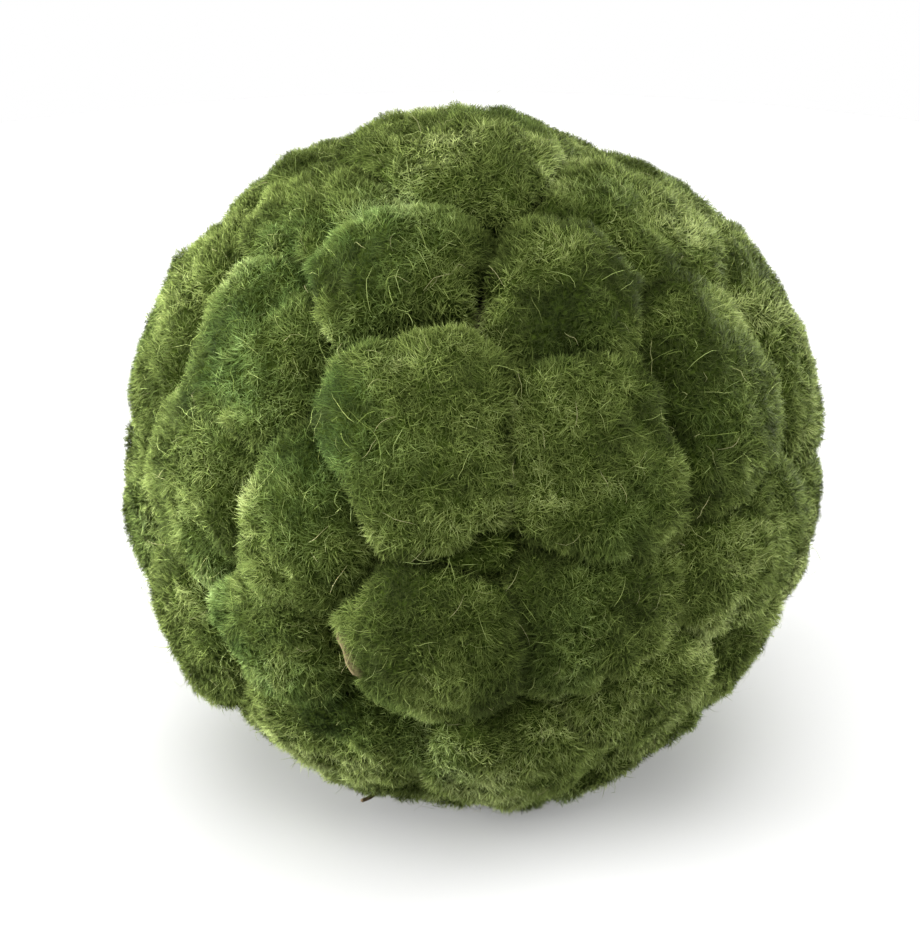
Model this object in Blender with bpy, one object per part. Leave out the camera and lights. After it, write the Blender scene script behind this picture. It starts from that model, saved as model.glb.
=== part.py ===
"""A moss ball: rounded clumps of cushion moss, packed side by side on an inner ball.

Lengths are in metres and angles in degrees. The front of the ball faces -Y. A direction from the ball's
middle is given by its azimuth, which is 0 at the front and grows towards +X, and by its latitude, which is 90
at the top.
"""

import random
from typing import NamedTuple

import bmesh
import bpy
import numpy as np

# Driving dimensions
BALL_RADIUS = 0.100  # from the ball's middle to the crest of a clump that stands neither high nor low
MIDDLE_HEIGHT = 0.0945  # of the ball's middle above the floor: its weight presses the lowest clump flat
INNER_RADIUS = 0.074  # of the inner ball that carries the clumps
RIM_DROP = 0.011  # how far a clump's surface falls from its crest to its nominal rim
DOME_POWER = 3.0  # a clump is flat on top and falls steeply at the rim
DEEPEST_CREASE = 0.016  # below BALL_RADIUS: where several clumps meet, none falls further than this
CREASE = 0.0016  # open width between two neighbours
TOUCHING_GAP = 0.0003  # kept between pieces that rest on each other

# How finely a clump is faceted
SECTORS = 16
RINGS = (0.36, 0.66, 0.86, 1.0)  # shares of the way from the crest to the rim
FOOT_RINGS = (0.5, 1.0)
WIDEST_CLUMP = 45.0  # no clump reaches further than this from its own middle
SEARCH_STEPS = 181
INNER_BALL_SUBDIVISIONS = 3

MOSS_GREEN = (0.09, 0.16, 0.03, 1.0)
PEAT_BROWN = (0.11, 0.08, 0.04, 1.0)


class Clump(NamedTuple):
    """Where a clump sits on the ball, its half sizes seen from outside, and how far it stands out."""

    azimuth: float
    latitude: float
    half_width: float
    half_height: float
    lift: float = 0.0
    turn: float = 0.0


# The clumps of the front half, each placed by hand
FRONT_CLUMPS = {
    "crown": Clump(-70, 85, 20, 19, lift=0.0015),
    "brow_left": Clump(-63, 62, 23, 15, lift=-0.0005, turn=25),
    "brow_right": Clump(66, 58, 22, 20, lift=-0.002),
    "upper_left": Clump(-22, 57, 18, 15.5, lift=0.0015),
    "upper_right": Clump(25, 52, 17, 16, lift=0.0015),
    "centre": Clump(-10, 31, 16.5, 20, lift=0.0035),
    "centre_right": Clump(22, 27, 16, 20, lift=0.002),
    "shoulder_left": Clump(-50, 39, 16, 20),
    "shoulder_right": Clump(51, 31, 15, 23, lift=0.001),
    "side_left_high": Clump(-86, 33, 18, 21),
    "side_left": Clump(-53, 14, 18, 16, lift=-0.001),
    "side_right_high": Clump(88, 26, 16, 22, lift=0.0015),
    "side_right": Clump(53, 1, 16, 15),
    "waist_left": Clump(-27, 14, 15, 15, lift=0.0005),
    "waist_middle": Clump(-4, 12, 14, 9, lift=-0.004),
    "belly_left": Clump(-32, -8, 14, 13),
    "belly_middle": Clump(-7, -2, 16, 15, lift=0.0025),
    "belly_right": Clump(18, 1, 16, 16, lift=-0.001),
    "side_left_low": Clump(-62, -18, 16, 14, lift=0.001),
    "side_right_low": Clump(57, -22, 15, 13, lift=-0.001),
    "foot_left": Clump(-27, -29, 18, 12),
    "foot_middle": Clump(8, -32, 15, 14, lift=0.0015),
    "foot_right": Clump(31, -20, 15, 12),
    "under_left": Clump(-44, -48, 16, 13),
    "under_middle": Clump(0, -58, 16, 13, lift=-0.001),
    "under_right": Clump(42, -46, 15, 14),
}
SOLE = Clump(0, -89, 27, 27, lift=0.004)  # the lowest clump, which the ball stands on

# The clumps of the back half stand in rows: latitude, azimuth of the first and of the last, and their number
BACK_ROWS = {
    "back_high": (53, 118, 244, 4),
    "back_upper": (19, 121, 257, 5),
    "back_lower": (-13, 85, 273, 7),
    "back_foot": (-46, 86, 280, 5),
}
BACK_HALF_SIZE = 17.5
BACK_SPREAD = 3.0  # how far a clump strays from its row, and its half size from the usual one
BACK_LIFT = 0.0015
BACK_SEED = 4


def back_clumps():
    """The clumps of the back rows, each a little off its even place so that no row looks ruled."""
    stray = random.Random(BACK_SEED)
    clumps = {}
    for row, (latitude, first, last, count) in BACK_ROWS.items():
        for number, azimuth in enumerate(np.linspace(first, last, count), start=1):
            clumps[f"{row}_{number}"] = Clump(
                azimuth + stray.uniform(-BACK_SPREAD, BACK_SPREAD),
                latitude + stray.uniform(-BACK_SPREAD, BACK_SPREAD),
                BACK_HALF_SIZE + stray.uniform(-BACK_SPREAD, BACK_SPREAD) / 2,
                BACK_HALF_SIZE + stray.uniform(-BACK_SPREAD, BACK_SPREAD) / 2,
                lift=stray.uniform(-BACK_LIFT, BACK_LIFT),
            )
    return clumps


def direction(azimuth, latitude):
    """The unit vector from the ball's middle towards an azimuth and a latitude."""
    around, up = np.radians(azimuth), np.radians(latitude)
    return np.array([np.sin(around) * np.cos(up), -np.cos(around) * np.cos(up), np.sin(up)])


def axes_at(middle):
    """The unit vectors that point east and north along the sphere at a direction."""
    east = np.cross((0.0, 0.0, 1.0), middle)
    east /= np.linalg.norm(east)
    return east, np.cross(middle, east)


def directions_round(clump, angles, bearings):
    """The directions that lie these angles away from a clump's middle, at these bearings round it."""
    middle = direction(clump.azimuth, clump.latitude)
    east, north = axes_at(middle)
    sideways = np.cos(bearings)[..., None] * east + np.sin(bearings)[..., None] * north
    return np.cos(angles)[..., None] * middle + np.sin(angles)[..., None] * sideways


def dome_radius(clump, directions):
    """How far from the ball's middle a clump's dome lies along each direction.

    It is the crest's radius less RIM_DROP times q to the DOME_POWER, where q is the angle from the clump's
    middle over its half size that way, so that q is 1 on its nominal rim.
    """
    middle = direction(clump.azimuth, clump.latitude)
    east, north = axes_at(middle)
    angle = np.degrees(np.arccos(np.clip(directions @ middle, -1.0, 1.0)))
    bearing = np.arctan2(directions @ north, directions @ east) - np.radians(clump.turn)
    q = angle * np.hypot(np.cos(bearing) / clump.half_width, np.sin(bearing) / clump.half_height)
    return BALL_RADIUS + clump.lift - RIM_DROP * q**DOME_POWER


def floor_radius(directions):
    """How far the floor lies from the ball's middle along each direction, and very far above the horizon."""
    down = np.maximum(-directions[..., 2], 1e-9)
    return MIDDLE_HEIGHT / down


def rim_angles(name, clumps, bearings):
    """How far a clump reaches at each bearing.

    It ends half a crease short of the first place where the dome of a neighbour stands as high as its own.
    """
    angles = np.radians(np.linspace(0.0, WIDEST_CLUMP, SEARCH_STEPS))
    directions = directions_round(clumps[name], angles[:, None], bearings[None, :])
    neighbours = [dome_radius(clump, directions) for other, clump in clumps.items() if other != name]
    ahead = dome_radius(clumps[name], directions) - np.max(neighbours, axis=0)
    last = np.argmax(ahead < 0.0, axis=0)
    columns = np.arange(len(bearings))
    before, after = ahead[last - 1, columns], ahead[last, columns]
    crossing = angles[last - 1] + (angles[last] - angles[last - 1]) * before / (before - after)
    return crossing - CREASE / 2 / BALL_RADIUS


def radius_clear_of(radius, angle_across, angle_along):
    """Where the corners of facets must lie for the facets, of this size seen from the middle, to clear a radius."""
    return radius / np.cos(np.hypot(angle_across, angle_along) / 2)


def material(name, colour, roughness):
    made = bpy.data.materials.new(name)
    made.use_nodes = True
    shader = made.node_tree.nodes["Principled BSDF"]
    shader.inputs["Base Color"].default_value = colour
    shader.inputs["Roughness"].default_value = roughness
    shader.inputs["Metallic"].default_value = 0.0
    return made


def add_object(name, shape, finish, parent):
    """Makes a bmesh an object of its own, smooth but for its sharp edges, round the ball's middle."""
    mesh = bpy.data.meshes.new(name)
    shape.to_mesh(mesh)
    shape.free()
    mesh.materials.append(finish)
    mesh.shade_smooth()
    mesh.set_sharp_from_angle(angle=np.radians(50))
    made = bpy.data.objects.new(name, mesh)
    made.parent = parent
    bpy.context.scene.collection.objects.link(made)
    return made


def add_ring(shape, points):
    return [shape.verts.new(point) for point in points]


def join_rings(shape, ring, following):
    """Quads between two rings of equally many corners."""
    for k in range(len(ring)):
        after = (k + 1) % len(ring)
        shape.faces.new((ring[k], ring[after], following[after], following[k]))


def close_ring(shape, ring, point, outwards):
    """A fan of triangles from a ring to one point, turned to face outwards or inwards."""
    tip = shape.verts.new(point)
    for k in range(len(ring)):
        after = (k + 1) % len(ring)
        shape.faces.new((tip, ring[k], ring[after]) if outwards else (tip, ring[after], ring[k]))


def clump_shape(name, clumps):
    """A closed solid of rings round the clump's middle: a dome, walls towards the ball's middle, and a foot.

    The dome never reaches past the floor, so the clump that the ball stands on is pressed flat there.
    """
    clump = clumps[name]
    bearings = np.linspace(0.0, 2 * np.pi, SECTORS, endpoint=False)
    rim = rim_angles(name, clumps, bearings)
    middle = direction(clump.azimuth, clump.latitude)
    widest = rim.max()
    foot = radius_clear_of(
        INNER_RADIUS + TOUCHING_GAP, widest * FOOT_RINGS[0], 2 * np.pi / SECTORS * np.sin(widest)
    )

    def dome_points(directions):
        radius = np.maximum(dome_radius(clump, directions), BALL_RADIUS - DEEPEST_CREASE)
        return directions * np.minimum(radius, floor_radius(directions))[..., None]

    shape = bmesh.new()
    dome = [add_ring(shape, dome_points(directions_round(clump, rim * share, bearings))) for share in RINGS]
    base = [add_ring(shape, directions_round(clump, rim * share, bearings) * foot) for share in FOOT_RINGS]
    close_ring(shape, dome[0], dome_points(middle), outwards=True)
    rings = [*dome, *reversed(base)]
    for ring, following in zip(rings, rings[1:]):
        join_rings(shape, following, ring)
    close_ring(shape, base[0], middle * foot, outwards=False)
    return shape


def inner_ball_shape():
    shape = bmesh.new()
    bmesh.ops.create_icosphere(shape, subdivisions=INNER_BALL_SUBDIVISIONS, radius=INNER_RADIUS)
    return shape


def centre_on_box(root):
    """Moves the ball sideways until the box round all its pieces is centred on the origin."""
    bpy.context.view_layer.update()
    corners = [piece.matrix_world @ vertex.co for piece in root.children for vertex in piece.data.vertices]
    middle = (np.min(corners, axis=0) + np.max(corners, axis=0)) / 2
    root.location.x -= middle[0]
    root.location.y -= middle[1]


def main():
    for old in list(bpy.data.objects):
        bpy.data.objects.remove(old)
    moss = material("moss", MOSS_GREEN, 0.9)
    peat = material("peat", PEAT_BROWN, 0.95)

    ball = bpy.data.objects.new("moss_ball", None)
    ball.location.z = MIDDLE_HEIGHT
    bpy.context.scene.collection.objects.link(ball)

    add_object("inner_ball", inner_ball_shape(), peat, ball)
    clumps = {**FRONT_CLUMPS, **back_clumps(), "sole": SOLE}
    for name in clumps:
        add_object(f"clump_{name}", clump_shape(name, clumps), moss, ball)
    centre_on_box(ball)


main()
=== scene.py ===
"""Dresses the ball in moss: each clump gets a matted bed, a dense pile of fine shoots, and some long strays.

Lengths are in metres and angles in degrees, but arrays named angles, bearings or reach hold radians. The
front of the ball faces -Y. A direction from the ball's middle is given by its azimuth, 0 at the front and
growing towards +X, and by its latitude, 90 at the top. Arrays named directions hold unit vectors that point
away from the ball's middle.
"""

import random
from typing import NamedTuple

import bpy
import numpy as np
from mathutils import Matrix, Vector


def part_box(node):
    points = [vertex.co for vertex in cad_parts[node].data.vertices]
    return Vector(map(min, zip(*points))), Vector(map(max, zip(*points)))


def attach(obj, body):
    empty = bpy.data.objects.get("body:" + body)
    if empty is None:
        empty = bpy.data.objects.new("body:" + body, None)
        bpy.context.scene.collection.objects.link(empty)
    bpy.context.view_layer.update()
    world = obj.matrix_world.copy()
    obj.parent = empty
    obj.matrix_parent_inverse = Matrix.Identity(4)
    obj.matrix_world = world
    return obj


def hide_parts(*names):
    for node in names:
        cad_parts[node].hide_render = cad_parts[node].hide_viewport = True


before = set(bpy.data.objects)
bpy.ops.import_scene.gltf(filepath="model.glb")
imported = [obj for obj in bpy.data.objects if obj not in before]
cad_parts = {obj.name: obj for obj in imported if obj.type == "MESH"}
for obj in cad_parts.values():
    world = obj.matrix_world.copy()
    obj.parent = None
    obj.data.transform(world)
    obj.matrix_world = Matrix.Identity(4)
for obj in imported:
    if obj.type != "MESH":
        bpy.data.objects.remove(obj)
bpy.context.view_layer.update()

# The ball, as the solids have it

BALL_RADIUS = 0.100
RIM_DROP = 0.011
DOME_POWER = 3.0
DEEPEST_CREASE = 0.016
INNER_RADIUS = 0.0757
MIDDLE = np.array(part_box("inner_ball")).mean(axis=0)
FLOOR_GAP = 0.0002  # no shoot comes closer to the floor


class Clump(NamedTuple):
    """Where a clump sits, its half sizes seen from outside, how far it stands out, and how it is turned."""

    azimuth: float
    latitude: float
    half_width: float
    half_height: float
    lift: float = 0.0
    turn: float = 0.0


FRONT_CLUMPS = {
    "crown": Clump(-70, 85, 20, 19, lift=0.0015),
    "brow_left": Clump(-63, 62, 23, 15, lift=-0.0005, turn=25),
    "brow_right": Clump(66, 58, 22, 20, lift=-0.002),
    "upper_left": Clump(-22, 57, 18, 15.5, lift=0.0015),
    "upper_right": Clump(25, 52, 17, 16, lift=0.0015),
    "centre": Clump(-10, 31, 16.5, 20, lift=0.0035),
    "centre_right": Clump(22, 27, 16, 20, lift=0.002),
    "shoulder_left": Clump(-50, 39, 16, 20),
    "shoulder_right": Clump(51, 31, 15, 23, lift=0.001),
    "side_left_high": Clump(-86, 33, 18, 21),
    "side_left": Clump(-53, 14, 18, 16, lift=-0.001),
    "side_right_high": Clump(88, 26, 16, 22, lift=0.0015),
    "side_right": Clump(53, 1, 16, 15),
    "waist_left": Clump(-27, 14, 15, 15, lift=0.0005),
    "waist_middle": Clump(-4, 12, 14, 9, lift=-0.004),
    "belly_left": Clump(-32, -8, 14, 13),
    "belly_middle": Clump(-7, -2, 16, 15, lift=0.0025),
    "belly_right": Clump(18, 1, 16, 16, lift=-0.001),
    "side_left_low": Clump(-62, -18, 16, 14, lift=0.001),
    "side_right_low": Clump(57, -22, 15, 13, lift=-0.001),
    "foot_left": Clump(-27, -29, 18, 12),
    "foot_middle": Clump(8, -32, 15, 14, lift=0.0015),
    "foot_right": Clump(31, -20, 15, 12),
    "under_left": Clump(-44, -48, 16, 13),
    "under_middle": Clump(0, -58, 16, 13, lift=-0.001),
    "under_right": Clump(42, -46, 15, 14),
}
SOLE = Clump(0, -89, 27, 27, lift=0.004)
# The rows of clumps on the back: the latitude, the first and the last azimuth, and the number of clumps
BACK_ROWS = {
    "back_high": (53, 118, 244, 4),
    "back_upper": (19, 121, 257, 5),
    "back_lower": (-13, 85, 273, 7),
    "back_foot": (-46, 86, 280, 5),
}
BACK_HALF_SIZE = 17.5
BACK_SPREAD = 3.0
BACK_LIFT = 0.0015
BACK_SEED = 4

# The moss on the domes. Noise is given by its strength, its wavelength and its seed

PILE_OVER_DOME = 0.0016  # how far the tips stand over the dome of the solid
CLOSED_FALL = 0.22  # how much of the dome's fall towards the rim is left where clumps have grown together
OPEN_FALL = 0.62  # and at an open crease
MOST_FALL = 1.2 * OPEN_FALL
UNEVENNESS = ((0.0008, 0.030, 11), (0.0005, 0.012, 12), (0.0003, 0.005, 13))
CREASE_DEPTH = 0.0085
CREASE_WIDTH = 0.0020
CREASE_RAGGED = (0.35, 0.025, 14)
CREASE_RAGGED_RANGE = (0.3, 1.6)
LIP_HEIGHT = 0.002  # the crease is twice as wide on the side that is this much lower, and half on the other
LIP_RANGE = (-0.8, 1.0)
GAP_FROM = 0.5  # how open a crease is before the clumps stand back from it
OPEN_GAP = 0.0014  # how far they do where it is open by 1 more
WANDER = (0.0009, 0.018)  # how the edges of the clumps wander, each with a seed of its own
TOUCHING_WITHIN = 60.0  # clumps whose middles are further apart never touch
WIDEST_CLUMP = 45.0
RIM_STEPS = 181
RIM_SECTORS = 256
SMOOTHING = (1, 2, 4, 8)  # how many sectors away the crease is averaged, one after the other
SLOPE_STEP = 0.006  # in radians, how far from a point the slopes of the skin are taken

BED_DEPTH = 0.0017  # below the tips of the shoots
BED_GAP = 0.0006  # between the bed and the rim
BED_SECTORS = 40
BED_RINGS = np.array([0.2, 0.4, 0.6, 0.75, 0.86, 0.93, 0.97, 1.0])
BARE_EDGES = {"belly_middle": (176, 216)}  # between which bearings, in degrees, the backing's edge is bare
BARE_ENDS = 5
BARE_HEIGHT = 0.0048
BARE_WIDTH = 0.0052
BARE_PILE = 0.12  # how much of the pile grows there all the same


class Leaf(NamedTuple):
    """The triangles of a shoot, how far along it each point is, and its chart and shelf in the bake map."""

    corners: tuple
    along: tuple
    chart: tuple
    shelf: float


class Growth(NamedTuple):
    """One kind of shoot: how many, how wide and tall, how steep in degrees at the root, and how it turns.

    Lying is the part of the steepness that is left at the tip, and spread is how unevenly the flat sides turn
    outward.
    """

    leaf: Leaf
    count: int
    width: float
    stature: float
    rising: tuple
    lying: tuple
    spread: float


STRAIGHT = Leaf(((0, 1, 2),), (0.0, 0.0, 1.0), ((0.1, 0.1), (0.9, 0.1), (0.5, 0.9)), 0.65)
BENT = Leaf(
    ((0, 2, 1), (1, 2, 3)), (0.0, 0.55, 0.55, 1.0), ((0.5, 0.1), (0.2, 0.5), (0.8, 0.5), (0.5, 0.9)), 0.3
)
MATTED = Growth(STRAIGHT, 515_000, 0.00023, 1.0, (30.0, 75.0), (0.1, 0.6), 0.4)
UPRIGHT = Growth(BENT, 200_000, 0.00019, 1.2, (50.0, 88.0), (0.5, 0.95), 2.0)
TRIES_EACH = 3.2  # how many places are drawn for each shoot that is wanted
SPARE_TRIES = 100
RIM_CROWDING = 0.9  # how much denser the pile is at the rim
RIM_SHORTER = 0.3  # and how much shorter
SOLE_GROWTH = 0.3  # how dense it is on the sole
ROOT_DEPTH = 1.04 * BED_DEPTH
SKIN_SHARE = 0.6  # how much a shoot stands by the slope of the skin, and not straight out of the ball
WHORLS = {"centre": (-5, 39)}  # where a clump's whorl is, if not at a random place near its middle
WHORL_OFFSETS = (0.1, 0.45)  # in half sizes of the clump
SWIRL = 0.9
COMBED = 0.28  # how much a shoot leans away from the whorl, as broad drifts and fine tufts do, and at random
DRIFT = (0.22, 0.016, 31)
TUFT = (0.14, 0.0045, 41)
LOOSE = 0.45
TWIST = 0.4  # how much its tip leans another way
STATURES = (0.55, 1.0, 1.3)
LEAST_RISE = 0.2
LENGTHS = (0.0016, 0.0060)
WIDTHS = (0.7, 1.3)
SOFTNESS = 0.45  # how much a shoot takes its light as the skin of the moss below it does
TONE_MIDDLE = 0.45
TONE_WAVES = ((0.13, 0.03, 51), (0.08, 0.006, 52))
TONE_SCATTER = 0.13
TONE_RAGGED = (0.4, 0.008, 53)
TONE_BY_STATURE = 0.35  # how much paler a tall shoot is
COOL_WAVES = (0.05, 61)  # of unit strength
COOL_CREST = 0.3  # where they are higher than this, the moss is cooler
COOL_ON_CREST = 0.4
COOL_RAGGED = (0.35, 0.010, 62)
COOL_SCATTER = 0.15

STRAYS = 2600
STRAYS_WITHIN = 0.9  # the part of a clump's area on which they root
STRAY_STEPS = 5
STRAY_WIDTH = 0.00013
STRAY_WIDTHS = (0.7, 1.2)
STRAY_LENGTHS = (0.003, 0.010)
STRAY_TURN = 0.8  # in radians, as the next and the one after it: how far a stray's heading turns
STRAY_WIGGLE = 0.10
STRAY_TILT = 0.8
STRAY_WIGGLES = 1.5  # how many, along its length
STRAY_ROOT = 0.0025
LYING_HEIGHTS = (0.0002, 0.0010)
STANDING_HEIGHTS = (0.002, 0.005)
STANDING_SHARE = 0.15
STRAY_TONES = (0.4, 0.85)
STRAY_COOLEST = 0.4
STRAY_DRIEST = 0.8
DRY_POWER = 6  # the higher, the fewer are dry

# The bake map of a clump: the bed and its underside are discs, with the strays beside and the shoots above
DISC_RADIUS = 0.14
DISC_MIDDLE = 0.145
DISC_FOOT = 1.12  # where the foot of the bed's wall is on the disc, its rim being at 1
STRAYS_LEFT = 0.6
STRAYS_ACROSS = 0.38
STRAYS_HIGH = 0.29
SHELF_HEIGHT = 0.34


class Place(NamedTuple):
    """A patch on the ball, how far across it is, and how much of something it has."""

    azimuth: float
    latitude: float
    across: float
    amount: float = 1.0


# Patches of bluer moss
COOL_PLACES = (
    Place(-47, 49, 6, 0.9),
    Place(-53, 32, 8, 0.7),
    Place(-26, 37, 6, 0.6),
    Place(-24, 28, 6, 0.7),
    Place(-39, 60, 7, 0.7),
    Place(-62, 55, 6, 0.6),
    Place(-37, -9, 8, 0.5),
    Place(-28, -14, 7, 0.5),
    Place(-43, -12, 5, 0.6),
    Place(44, 28, 8, 0.4),
    Place(-24, -22, 6, 0.6),
    Place(-42, 15, 30, 0.2),
)

# How open the crease between two clumps is: 0 where they have grown together, 1 and over where it is deep
BORDERS = {
    "crown": {
        "brow_left": 0.3, "brow_right": 0.3, "upper_left": 0.5, "upper_right": 0.6, "back_high_2": 0.2,
        "back_high_4": 0.2, "back_high_3": 0.2,
    },
    "brow_left": {"upper_left": 0.6, "shoulder_left": 0.4, "side_left_high": 0.5, "back_high_4": 0.2},
    "brow_right": {
        "upper_right": 1.2, "shoulder_right": 0.3, "side_right_high": 0.1, "back_high_1": 0.2,
    },
    "upper_left": {"upper_right": 1.5, "centre": 1.3, "shoulder_left": 0.5},
    "upper_right": {"centre": 1.0, "centre_right": 0.35, "shoulder_right": 1.1},
    "centre": {"shoulder_left": 1.5, "centre_right": 0.5, "waist_left": 1.0, "waist_middle": 0.45},
    "centre_right": {"shoulder_right": 1.0, "side_right": 0.7, "belly_right": 0.4, "waist_middle": 0.3},
    "shoulder_left": {"side_left_high": 1.3, "side_left": 0.3, "waist_left": 0.3},
    "side_left_high": {"side_left": 0.4, "back_high_4": 0.3, "back_lower_7": 0.3, "back_upper_5": 0.3},
    "side_left": {"waist_left": 1.1, "belly_left": 0.3, "side_left_low": 0.3, "back_lower_7": 0.3},
    "waist_left": {"belly_left": 0.05, "belly_middle": 0.8},
    "waist_middle": {"belly_middle": 0.2, "belly_right": 0.2},
    "belly_left": {"belly_middle": 1.25, "side_left_low": 0.8, "foot_left": 0.3},
    "belly_middle": {"belly_right": 0.2, "foot_left": 0.7, "foot_middle": 0.6},
    "belly_right": {"side_right": 0.2, "foot_right": 0.2, "foot_middle": 0.3},
    "shoulder_right": {"side_right": 0.5, "side_right_high": 0.8},
    "side_right_high": {"side_right": 0.4, "back_lower_1": 0.2, "back_upper_1": 0.3},
    "side_right": {"side_right_low": 0.3, "foot_right": 0.3, "back_lower_1": 0.3},
    "side_right_low": {"foot_right": 0.3, "under_right": 0.2, "back_lower_1": 0.3},
    "side_left_low": {"foot_left": 0.2, "under_left": 0.1, "back_lower_7": 0.3},
    "foot_left": {"foot_middle": 0.2, "under_left": 0.2, "under_middle": 0.2},
    "foot_middle": {"under_middle": 0.3, "foot_right": 0.2},
    "foot_right": {"under_right": 0.2},
    "under_left": {"under_middle": 0.1},
    "under_middle": {"under_right": 0.2},
}
OTHER_BORDERS = (0.1, 0.3, 0.5, 0.8, 1.1)  # one of these for each pair that isn't in the list

# Pairs where the first clump has the lip over the second, though it isn't the one that stands out further
LIPS = (
    ("centre_right", "centre"),
    ("shoulder_right", "side_right_high"),
    ("brow_right", "side_right_high"),
    ("shoulder_left", "side_left_high"),
    ("belly_left", "side_left_low"),
    ("foot_left", "under_left"),
)

# Patches of paler moss, and of darker moss where the amount is below zero: partly the moss's own tone, partly
# painted light on lit ridges and sides and painted shade in hollows, recesses and on the shaded sides of
# clumps
TONE_LIGHT_AND_SHADE_PLACES = (
    Place(-37, 16, 5, 0.36),
    Place(-50, 26, 6, -0.20),
    Place(-45, 10, 5, -0.28),
    Place(-38, 29, 5, 0.20),
    Place(-18, 33, 5, -0.18),
    Place(2, 34, 6, 0.32),
    Place(15, 38, 5, 0.20),
    Place(11, 22, 6, 0.18),
    Place(24, 24, 8, -0.18),
    Place(-30, 68, 8, 0.25),
    Place(19, 86, 6, 0.18),
    Place(80, 60, 9, 0.22),
    Place(77, 47, 6, 0.25),
    Place(42, 56, 8, -0.20),
    Place(48, 45, 8, -0.22),
    Place(20, 49, 7, -0.14),
    Place(-34, 47, 6, -0.25),
    Place(-13, 57, 5, 0.12),
    Place(77, 30, 5, 0.30),
    Place(-31, -12, 6, 0.22),
    Place(-15, 17, 5, 0.18),
    Place(-11, 10, 5, -0.22),
    Place(49, -2, 6, 0.28),
    Place(38, -7, 7, 0.30),
    Place(49, 9, 5, -0.15),
    Place(26, 6, 6, -0.15),
    Place(-8, -21, 5, 0.15),
    Place(38, -21, 7, 0.30),
    Place(44, -12, 6, 0.25),
    Place(-43, -33, 7, 0.20),
    Place(-31, -40, 6, 0.20),
    Place(-24, -46, 6, 0.20),
    Place(8, -45, 9, 0.18),
    Place(-14, 0, 4, -0.15),
    Place(29, 40, 12, -0.08),
    Place(-6, -4, 12, -0.07),
    Place(42, 8, 9, -0.06),
    Place(-75, 5, 8, 0.12),
    Place(180, 76, 8, 0.25),
    Place(96, 30, 8, 0.20),
    Place(72, -10, 9, 0.20),
    Place(66, -22, 6, 0.22),
    Place(26, -50, 8, 0.22),
    Place(-48, -39, 5, 0.20),
    Place(-33, -28, 6, 0.20),
    Place(-24, -34, 6, 0.20),
    Place(-24, -21, 4, -0.18),
    Place(0, 28, 48, -0.045),
    Place(40, 22, 14, -0.13),
    Place(33, 50, 12, -0.12),
    Place(28, 0, 9, -0.16),
    Place(2, 50, 7, -0.13),
    Place(-3, 8, 8, -0.14),
    Place(0, -27, 9, 0.28),
    Place(-5, -42, 12, 0.19),
    Place(-38, -36, 8, 0.30),
    Place(88, 18, 10, 0.27),
    Place(60, -29, 7, 0.25),
    Place(-34, 12, 4, 0.15),
    Place(52, 35, 8, -0.08),
    Place(-13, -26, 4, -0.18),
)

# Where the moss swells above the ball or sinks below it, in metres
SWELLS = (
    Place(105, 44, 6, 0.0015),
    Place(126, 61, 8, -0.0040),
    Place(-152, 69, 9, 0.0014),
    Place(-113, 52, 5, -0.0010),
    Place(-76, -8, 10, -0.0040),
    Place(-70, -17, 5, -0.0010),
    Place(-84, 5, 5, -0.0040),
    Place(-57, -32, 5, 0.0036),
    Place(-54, -36, 3, 0.0018),
    Place(-46, -42, 5, -0.0048),
    Place(-18, -52, 5, 0.0018),
    Place(-3, -53, 4, -0.0048),
    Place(18, -52, 8, 0.0032),
    Place(48, -40, 6, -0.0017),
    Place(64, -25, 5, -0.0015),
    Place(75, -9, 5, 0.0014),
    Place(93, 26, 6, -0.0011),
    Place(-42, 17, 4, -0.0035),
    Place(-48, 8, 5, -0.0035),
    Place(-36, 15, 3, 0.0018),
    Place(-47, 49, 3.5, -0.0040),
    Place(-43, -12, 4, -0.0035),
    Place(32, 11, 2.5, -0.0045),
    Place(59, 71, 5, -0.0025),
    Place(51, 65, 4, -0.0020),
    Place(-7, 52, 4.5, -0.0030),
    Place(14, 48, 5, -0.0022),
    Place(-5, 11, 5, -0.0005),
    Place(1, 8, 5, -0.0005),
    Place(79, 46, 5, 0.0015),
    Place(47, 54, 4, -0.0015),
    Place(-32, -22, 3.5, -0.0020),
    Place(-25, -26, 3.5, -0.0020),
    Place(-16, -29, 3.5, -0.0020),
    Place(6, -46, 5, 0.0015),
    Place(-2, -33, 3, -0.0020),
)

# The bit of twig: where it starts in the moss, bends, and ends, seen from the ball's middle
TWIG = ((-0.0210, -0.0450, -0.0780), (-0.0262, -0.0520, -0.0803), (-0.0308, -0.0592, -0.0786))
TWIG_RADIUS = 0.0007
TWIG_STEPS = 16
TWIG_SECTORS = 12
TWIG_TAPER = 0.2
TWIG_TIP = 0.0002
BARK_RAGGED = (0.12, 0.0012, 71)


def back_clumps():
    """The clumps of the back rows, each a little off its even place."""
    stray = random.Random(BACK_SEED)
    clumps = {}
    for row, (latitude, first, last, count) in BACK_ROWS.items():
        for number, azimuth in enumerate(np.linspace(first, last, count), start=1):
            clumps[f"{row}_{number}"] = Clump(
                azimuth + stray.uniform(-BACK_SPREAD, BACK_SPREAD),
                latitude + stray.uniform(-BACK_SPREAD, BACK_SPREAD),
                BACK_HALF_SIZE + stray.uniform(-BACK_SPREAD, BACK_SPREAD) / 2,
                BACK_HALF_SIZE + stray.uniform(-BACK_SPREAD, BACK_SPREAD) / 2,
                lift=stray.uniform(-BACK_LIFT, BACK_LIFT),
            )
    return clumps


CLUMPS = {**FRONT_CLUMPS, **back_clumps(), "sole": SOLE}


# Directions and domes


def unit(vectors):
    """Each vector over its length."""
    return vectors / np.maximum(np.linalg.norm(vectors, axis=-1, keepdims=True), 1e-12)


def direction(azimuth, latitude):
    """The unit vector from the ball's middle towards an azimuth and a latitude."""
    around, up = np.radians(azimuth), np.radians(latitude)
    return np.array([np.sin(around) * np.cos(up), -np.cos(around) * np.cos(up), np.sin(up)])


def axes_at(middle):
    """The unit vectors that point east and north along the sphere at a direction."""
    east = unit(np.cross((0.0, 0.0, 1.0), middle))
    return east, np.cross(middle, east)


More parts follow.
